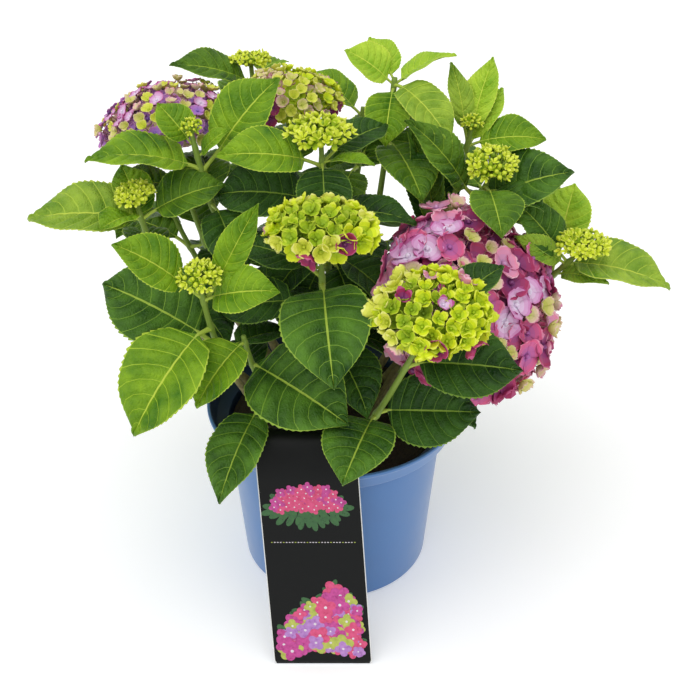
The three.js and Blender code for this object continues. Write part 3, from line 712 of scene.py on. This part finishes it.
stems = Growth()
for shoot in SHOOTS:
    start = shoot["cane_end"]
    path, radii = [], []
    for k in range(STEM_STEPS + 1):
        share = start + (1 - start) * k / STEM_STEPS
        radius = STEM_RADIUS + (TIP_RADIUS - STEM_RADIUS) * k / STEM_STEPS
        swell = sum(math.exp(-((share - shape["at"]) / LEAF_JOINT) ** 2) for shape in shoot["leaves"])
        path.append(curve_point(shoot, share))
        radii.append(radius * (1 + LEAF_JOINT_SWELL * min(swell, 1)))
    stems.tube(path, radii, STEM_SIDES, GREEN_STEM)
    for shape in shoot["leaves"]:
        held = leaf_frame(shoot, shape)
        root, base = held[:2]
        thick = (0.5 + 0.015 * shape["length"]) * MM
        neck = blade_point(shape, held, RIB_START, 0, -0.6 * thick)
        path = [bow(root, base, neck, k / STALK_STEPS) for k in range(STALK_STEPS + 1)]
        radii = [thick * (1 + 0.55 * max(0, 1 - k / 3) ** 2) for k in range(STALK_STEPS + 1)]
        for k in range(1, RIB_STEPS + 1):
            along = RIB_START + RIB_RUN * k / RIB_STEPS
            radii.append(thick * (0.62 - 0.5 * k / RIB_STEPS))
            path.append(blade_point(shape, held, along, 0, -radii[-1] - 0.0002))
        stems.tube(path, radii, STALK_SIDES, LEAF_STALK)


# The leaves: thin oval blades with a drawn-out point and a saw edge. Side ribs run forward to the
# edge, sunk in the upper face, and the skin swells between them. Sprays differ in their greens.
RIBS = [0.05, 0.14, 0.25, 0.37, 0.5, 0.63, 0.76, 0.88]
ACROSS = [-1, -0.965, -0.75, -0.48, -0.22, -0.024, 0, 0.024, 0.22, 0.48, 0.75, 0.965, 1]
# The green for the leaves that hang low at the back and inside the crown is the mid green made darker:
# painted shade.
GREENS = {
    "dark": ((11, 42, 10), (62, 103, 28), 0.26), "deep": ((20, 60, 12), (92, 136, 40), 0.34),
    "shaded_mid": ((24, 60, 14), (90, 126, 34), 0.3), "mid": ((30, 72, 12), (108, 148, 34), 0.32),
    "fresh": ((52, 106, 10), (142, 180, 34), 0.42), "pale": ((82, 130, 26), (170, 198, 66), 0.46),
    "bright": ((116, 168, 24), (194, 222, 68), 0.45),
}
RIB_COLOUR, UNDER_COLOUR, UNDER_SHARE = (202, 214, 86), (156, 182, 118), 0.62
RIB_HALF_WIDTH, ROWS_BETWEEN, RIB_LEAN, PILLOW, DROOP, WAVE = 0.0038, 5, 0.92, 0.036, 0.02, 6.28
BLADE, SIDE_RIB, MIDRIB, MARGIN = 0, 2, 4, 6
MIDRIB_STRIPS, MARGIN_STRIPS, LEAF_MOTTLE, VEIN_NET = (5, 6), (0, 11), 48, 340


def blade_rows():
    """The lines across a blade: place on the midrib, swell between ribs, tooth and rib."""
    rows = [(0.0, 0.0, 0, False)]
    edges = RIBS + [1.0]
    for low, high in zip(edges, edges[1:]):
        strip = RIB_HALF_WIDTH * (1 - 0.5 * low)
        rows += [(low - strip, 0.0, 1, True), (low + strip, 0.0, 1, False)]
        for k in range(1, ROWS_BETWEEN + 1):
            share = k / (ROWS_BETWEEN + 1)
            rows.append((
                low + strip + (high - low - 2 * strip) * share, math.sin(math.pi * share),
                -1 if k % 2 else 1, False,
            ))
    rows.append((1.0, 0.0, 0, False))
    return rows


BLADE_ROWS = blade_rows()


def grow_leaf(growth, shoot, shape):
    """One blade: its rows from the stalk to the point, with teeth, swellings and a slow ripple."""
    held = leaf_frame(shoot, shape)
    length = shape["length"] * MM
    phase, waves, ripple = sway.uniform(0, WAVE), sway.uniform(1.6, 2.6), sway.uniform(0.008, 0.022)
    saw = sway.uniform(0.014, 0.028)
    rows = []
    for at, swell, tooth, _ in BLADE_ROWS:
        row = []
        for across in ACROSS:
            wide = abs(across)
            along = at + RIB_LEAN * at * (1 - at) * wide ** 1.5
            edge = 0.0
            if wide == 1:
                edge = saw * tooth
                along += 0.3 * saw * tooth * min(1, at * 8)
            along = min(along, 1.0)
            above = PILLOW * length * swell * math.sin(math.pi * wide ** 0.8) * min(1, at * 6)
            above += ripple * length * wide ** 2 * math.sin(waves * WAVE * along + phase + across)
            above -= DROOP * length * wide ** 3
            row.append(blade_point(shape, held, along, across * (1 + edge), above))
        rows.append(row)

    def part(i, j):
        if j in MIDRIB_STRIPS:
            return MIDRIB
        if j in MARGIN_STRIPS:
            return MARGIN
        return SIDE_RIB if BLADE_ROWS[i][3] else BLADE

    growth.sheet(rows, part)


sprays = {green: (Growth(), set()) for green in GREENS}
for shoot in SHOOTS:
    for shape in shoot["leaves"]:
        growth, nodes = sprays[shape["green"]]
        grow_leaf(growth, shoot, shape)
        nodes.add(f"leaves_{shoot['name']}")


def mixed(first, second, share):
    """A colour part of the way from the first to the second."""
    return tuple(a + (b - a) * share for a, b in zip(first, second))


def leaf_skin(name, dark, light, rough, depth, plain=False):
    """A leaf's skin: greens that drift over the sprays, and a fine net of veins as relief."""
    material = surface(name, dark, light, LEAF_MOTTLE, rough, 0.0, plain, Specular_IOR_Level=0.2)
    tree = material.node_tree
    spot, net = tree.nodes.new("ShaderNodeTexCoord"), tree.nodes.new("ShaderNodeTexVoronoi")
    net.feature = "DISTANCE_TO_EDGE"
    net.inputs["Scale"].default_value = VEIN_NET
    tree.links.new(spot.outputs["Object"], net.inputs["Vector"])
    relief = next(node for node in tree.nodes if node.type == "BUMP")
    relief.inputs["Distance"].default_value = depth
    tree.links.new(net.outputs["Distance"], relief.inputs["Height"])
    return material


# Every second skin is the pale one of the underside, which a blade's thickness gives its faces.
for green, (growth, nodes) in sprays.items():
    dark, light, rib = GREENS[green]
    under = mixed(light, UNDER_COLOUR, UNDER_SHARE)
    skins = [
        leaf_skin(f"leaf_{green}", dark, light, (0.38, 0.52), 0.0013),
        leaf_skin(f"leaf_{green}_under", under, under, (0.65, 0.8), 0.0006, plain=True),
    ]
    for part_name, share in (("side_rib", 0.8), ("midrib", 1.8), ("margin", 1.3)):
        tone, called = mixed(light, RIB_COLOUR, min(1, rib * share)), f"leaf_{green}_{part_name}"
        skins += [leaf_skin(called, tone, tone, (0.5, 0.6), 0.0002, plain=True), skins[1]]
    piece = hang(f"foliage_{green}", growth.mesh(f"foliage_{green}"), skins, sorted(nodes))
    sheet = piece.modifiers.new("blade_thickness", "SOLIDIFY")
    sheet.thickness, sheet.offset = 0.00035, -1
    sheet.material_offset, sheet.material_offset_rim = 1, 1


# The flower heads: ripe ones are domes of four-lobed florets on thin stalks that branch from the
# stem's end, young ones are bunches of small lime cups and round buds. Colours lie in patches.
GOLDEN = math.pi * (3 - math.sqrt(5))
SPREAD = {"ripe": 104, "young": 90}
LOBES = {
    "ripe": [(0.05, 0.85), (0.28, 0.9), (0.56, 0.96), (0.8, 0.86), (0.94, 0.62), (1.0, 0.26)],
    "cupped": [(0.05, 0.85), (0.3, 0.88), (0.58, 0.86), (0.82, 0.62), (1.0, 0.12)],
    "young": [(0.05, 0.8), (0.34, 0.76), (0.62, 0.62), (0.84, 0.4), (1.0, 0.06)],
}
# Each palette lists the kinds for the crown, for the rim and for the lower layer that shows in the gaps.
# On the lime heads the lower layer's greens are darker than the upper ones: painted shade in the gaps.
PALETTES = {
    "lime": (
        ["lime", "lime", "green_lime"], ["lime", "lime", "soft_lime"], ["green_lime", "shaded_lime"],
    ),
    "pink": (
        ["lilac", "magenta", "plum", "magenta", "cream", "blush", "rose"],
        ["plum", "magenta", "rose", "blush", "rose", "cream", "lilac", "blush", "magenta"],
        ["plum", "blush", "magenta", "cream"],
    ),
    "mauve": (
        ["violet", "lilac", "blush", "cream", "soft_lime", "cream", "lilac"],
        ["soft_lime", "blush", "violet", "lilac", "violet", "cream", "soft_lime"],
        ["violet", "blush", "violet"],
    ),
    "cream": (
        ["blush", "cream", "soft_lime", "soft_lime", "lime", "cream"],
        ["plum", "lilac", "blush", "soft_lime", "lime", "cream", "blush"],
        ["green_lime", "lime", "blush"],
    ),
}
# Each kind is a body, a throat and an edge colour, and the buds take the throat colour. In the lime kinds
# the darker throat at the foot of each lobe is partly a greener centre and partly painted shade in the
# hollow of the cup.
PETALS = {
    "lime": ((212, 226, 30), (168, 196, 26), (228, 236, 76)),
    "soft_lime": ((222, 224, 92), (190, 202, 56), (232, 232, 130)),
    "green_lime": ((174, 200, 34), (142, 174, 30), (198, 214, 60)),
    "shaded_lime": ((142, 166, 30), (110, 138, 26), (160, 180, 44)),
    "young_lime": ((222, 234, 66), (204, 218, 52), (234, 240, 110)),
    "cream": ((220, 210, 140), (190, 198, 84), (230, 204, 176)),
    "magenta": ((216, 92, 136), (172, 96, 162), (232, 140, 174)),
    "rose": ((232, 146, 176), (200, 150, 192), (242, 186, 204)),
    "plum": ((168, 50, 96), (132, 62, 122), (192, 88, 132)),
    "violet": ((188, 120, 192), (150, 116, 198), (214, 162, 208)),
    "lilac": ((210, 144, 194), (232, 218, 238), (186, 78, 140)),
    "blush": ((232, 200, 186), (196, 204, 110), (226, 150, 178)),
}
ACCENTS = {
    "front": [(1.0, -60, "plum"), (1.0, -112, "plum"), (0.92, 180, "blush"), (0.8, 35, "rose")],
    "right_front": [
        (0.02, 0, "lilac"), (0.3, 160, "plum"), (0.5, 90, "rose"), (0.5, 48, "rose"),
        (0.7, -95, "plum"), (0.98, -60, "plum"), (0.95, -130, "blush"),
    ],
}
DEPTHS = {"lime": 0.82, "pink": 1.03, "mauve": 0.98, "cream": 0.96}
PALE, PALE_SIZES = ("soft_lime", "lime", "blush", "cream"), {"pink": 0.62, "mauve": 0.8, "cream": 0.8}
YOUNG_DEPTH, LOWER_DEPTH, LOWER_SIZE, NOD = 0.9, 0.76, 1.35, 0.26
CROWN_SHARE, CUPPED_SHARE, CLOSED_SHARE, PATCH_SCALE = 0.4, 0.6, 0.4, 26
STALK_RADII, FORK_RADII = (0.7, 0.6, 0.5, 0.55), (1.3, 1.2, 1.1, 1.0, 0.9)
PETAL_PARTS, FORKS = ("body", "throat", "inner", "outer", "edge"), 7
BODY, THROAT, INNER, OUTER, EDGE = range(len(PETAL_PARTS))


def head_frame(shoot):
    """A head's middle and its three axes, the last one out of the stem's end."""
    head = shoot["head"]
    axis, across = heading(head["turn"], head["rise"]), heading(head["turn"] + 90, 0)
    centre = Vector(shoot["tip"]) * MM + axis * head["radii"][2] * MM * 0.7
    return centre, across, axis.cross(across), axis


def floret_place(head, held, share, angle, depth):
    """The place of a floret on its head and the way it faces."""
    centre, across, up, axis = held
    reach = 1 - share * (1 - math.cos(math.radians(SPREAD[head["kind"]])))
    flat = math.sqrt(max(0, 1 - reach * reach))
    parts = (flat * math.cos(angle), flat * math.sin(angle), reach)
    at, facing = centre.copy(), Vector()
    for part, axis_way, radius in zip(parts, (across, up, axis), head["radii"]):
        at += axis_way * part * radius * MM * depth
        facing += axis_way * part / radius
    return at, facing.normalized()


def grow_floret(petals, beads, at, facing, size, cup, turn, kind, lobe):
    """Four lobes that wrap into a bowl round a small bead."""
    across = facing.orthogonal().normalized()
    up = facing.cross(across)
    ripe = len(lobe) == 6
    rings = (THROAT, INNER, OUTER, BODY, EDGE) if ripe else (THROAT, INNER, BODY, EDGE)
    spots_across = 6 if ripe else 4
    for k in range(4):
        middle = turn + k * math.pi / 2 + bloom.uniform(-0.12, 0.12)
        reach = size * 0.5 * bloom.uniform(0.86, 1.08)
        own_cup, wave = cup + bloom.uniform(-0.1, 0.1), bloom.uniform(-0.05, 0.05) * size
        rows = []
        for t, half in lobe:
            row = []
            for step in range(spots_across):
                v = 2 * step / (spots_across - 1) - 1
                angle = middle + half * v
                out = across * math.cos(angle) + up * math.sin(angle)
                lift = own_cup * reach * t ** 1.7 + 0.04 * size * (k % 2) * t + wave * v * t
                lift += ripe * 0.035 * size * math.sin(5 * v + middle * 3) * t ** 3
                lift += 0.03 * size * v * v * t
                row.append(at + out * reach * t * (1 - 0.3 * cup * t) + facing * lift)
            rows.append(row)
        petals.sheet(rows, lambda i, j: kind * len(PETAL_PARTS) + rings[i])
    beads.bead(at + facing * size * 0.04, facing, size * 0.075, kind)


def petal_kind(colour, young, layer, share, at):
    """The colour of a floret: neighbours ripen together, so the colours lie in patches. Lime heads' lower
    florets are darker: painted shade.
    """
    if young:
        return petal_names.index("young_lime" if layer == 0 else "green_lime")
    choice = PALETTES[colour][2 if layer else int(share > CROWN_SHARE)]
    patch = 0.5 + 0.95 * noise.noise(at * PATCH_SCALE) + bloom.uniform(-0.26, 0.26)
    return petal_names.index(choice[int(min(max(patch, 0), 0.999) * len(choice))])


def grow_head(shoot, petals, beads):
    """The florets of a head in two layers, each on its stalk from the fork of the stem's end."""
    head, held = shoot["head"], head_frame(shoot)
    colour, young = head["colour"], head["kind"] == "young"
    ripe_lime = colour == "lime" and not young
    centre, axis, tip = held[0], held[3], Vector(shoot["tip"]) * MM
    upper = YOUNG_DEPTH if young else DEPTHS[colour]
    lower_count = head["florets"] * (2 if colour == "lime" else 3) // 4
    stalk = LIME_STALK if colour in ("lime", "cream") else ROSY_STALK
    layers = ((head["florets"], upper), (lower_count, upper * LOWER_DEPTH))
    for layer, (count, depth) in enumerate(layers):
        places = [((index + 0.5) / count, index * GOLDEN + layer * 1.3) for index in range(count)]
        spots = [
            floret_place(head, held, share, angle, depth * bloom.uniform(0.9, 1.06))
            for share, angle in places
        ]
        kinds = [
            petal_kind(colour, young, layer, share, at) for (share, _), (at, _) in zip(places, spots)
        ]
        if layer == 0:
            for share, angle, petal in ACCENTS.get(shoot["name"], []):
                goal, _ = floret_place(head, held, share, math.radians(angle), depth)
                nearest = min(range(count), key=lambda index: (spots[index][0] - goal).length)
                kinds[nearest] = petal_names.index(petal)
        for (share, _), (at, facing), kind in zip(places, spots, kinds):
            facing = (facing + Vector([bloom.uniform(-NOD, NOD) for _ in range(3)])).normalized()
            pale = petal_names[kind] in PALE and colour in PALE_SIZES
            size = head["size"] * MM * bloom.uniform(0.84, 1.12)
            if pale:
                size *= PALE_SIZES[colour]
            if ripe_lime:
                size *= 0.8 + 0.2 * share
            elif layer:
                size *= LOWER_SIZE
            cup = bloom.uniform(0.4, 0.8) if pale or colour == "lime" else bloom.uniform(0.08, 0.34)
            if young and bloom.random() < CLOSED_SHARE:
                bud = head["size"] * MM * bloom.uniform(0.2, 0.27) * (LOWER_SIZE if layer else 1)
                beads.bead(at, facing, bud, kind)
            else:
                lobe = LOBES["cupped" if ripe_lime and share < CUPPED_SHARE else head["kind"]]
                turn = bloom.uniform(0, 1.6)
                grow_floret(petals, beads, at, facing, size, cup, turn, kind, lobe)
            fork = tip.lerp(centre, 0.3) + (at - centre) * 0.3
            bend_at = fork.lerp(at, 0.5) - axis * (at - fork).length * 0.1
            path = [bow(fork, bend_at, at - facing * 0.0002, k / 3) for k in range(4)]
            stems.tube(path, [radius * MM for radius in STALK_RADII], 4, stalk)
    for k in range(FORKS):
        goal, _ = floret_place(head, held, 0.55, k * 2 * math.pi / FORKS, 0.45)
        path = [bow(tip - axis * 0.002, tip + axis * 0.002, goal, s / 4) for s in range(5)]
        stems.tube(path, [radius * MM for radius in FORK_RADII], 5, LIME_STALK)


bloom = random.Random(23)
petal_names = list(PETALS)
blossoms = {colour: (Growth(), Growth(), set()) for colour in PALETTES}
for shoot in SHOOTS:
    if "head" in shoot:
        petals, beads, nodes = blossoms[shoot["head"]["colour"]]
        grow_head(shoot, petals, beads)
        nodes.add(f"head_{shoot['name']}")

petal_skins = []
for name, (body, throat, edge) in PETALS.items():
    tones = (body, throat, mixed(throat, body, 0.35), mixed(throat, body, 0.7), edge)
    for part_name, tone in zip(PETAL_PARTS, tones):
        petal_skins.append(surface(
            f"petal_{name}_{part_name}", tone, tone, 900, (0.5, 0.65), 0.0001, plain=True,
            Specular_IOR_Level=0.3,
        ))
bud_skins = [
    surface(f"bud_{name}", tones[1], tones[1], 900, (0.4, 0.5), 0.0001, plain=True)
    for name, tones in PETALS.items()
]
for colour, (petals, beads, nodes) in blossoms.items():
    slot, heads = f"floret_{colour}", sorted(nodes)
    blossom, buds = f"blossom_{colour}", f"buds_{colour}"
    piece = hang(blossom, petals.mesh(blossom), petal_skins, heads)
    sheet = piece.modifiers.new("petal_thickness", "SOLIDIFY")
    sheet.thickness, sheet.offset = 0.0003, -1
    hang(buds, beads.mesh(buds), bud_skins, heads)

stem_skins = [
    surface(name, dark, light, 500, (0.5, roughest), 0.0002, plain=True)
    for name, dark, light, roughest in (
        ("green_stem", (104, 132, 44), (122, 148, 52), 0.65),
        ("leaf_stalk", (150, 172, 60), (168, 190, 66), 0.65),
        ("lime_flower_stalk", (140, 170, 60), (160, 186, 70), 0.6),
        ("rosy_flower_stalk", (150, 90, 110), (168, 120, 120), 0.6),
    )
]
hang(
    "green_stems", stems.mesh("green_stems"), stem_skins,
    [f"leaves_{shoot['name']}" for shoot in SHOOTS],
)


# The studio: a pale floor, soft light from all round, a broad lamp above, in front and to the
# left, and the camera at the photograph's height and angle. What the camera sees beyond is white.
FLOOR_GLOW, SKY_LIGHT, SKY_SEEN = 0.22, 0.72, 1.0
floor_mesh = bmesh.new()
bmesh.ops.create_grid(floor_mesh, x_segments=1, y_segments=1, size=6)
floor_data = finished(floor_mesh, "studio_floor")
studio_floor = placed("studio_floor", floor_data)
floor_data.materials.append(surface(
    "white_floor", (240, 240, 240), (246, 246, 246), 3, (0.85, 0.95), 0.0,
    Emission_Color=(1, 1, 1, 1), Emission_Strength=FLOOR_GLOW,
))

world = bpy.data.worlds.new("soft_studio")
bpy.context.scene.world = world
world.use_nodes = True
around = world.node_tree
sky = around.nodes["Background"]
sky.inputs["Color"].default_value = (1, 1, 1, 1)
seen, shown = around.nodes.new("ShaderNodeLightPath"), around.nodes.new("ShaderNodeMapRange")
shown.inputs["To Min"].default_value, shown.inputs["To Max"].default_value = SKY_LIGHT, SKY_SEEN
around.links.new(seen.outputs["Is Camera Ray"], shown.inputs["Value"])
around.links.new(shown.outputs["Result"], sky.inputs["Strength"])
sun_data = bpy.data.lights.new("broad_lamp", "SUN")
sun_data.energy, sun_data.angle = 1.3, math.radians(80)
sun = placed("broad_lamp", sun_data)
sun.rotation_euler = Vector((0.35, 0.55, -1.5)).to_track_quat("-Z", "Y").to_euler()

camera_data = bpy.data.cameras.new("camera")
camera_data.lens, camera_data.sensor_width = 69.89, 36
camera = placed("camera", camera_data)
camera.location = (0.014, -0.9937, 0.8912)
camera.rotation_euler = (math.radians(55.9), 0, 0)
bpy.context.scene.camera = camera
bpy.context.scene.view_settings.view_transform = "Standard"
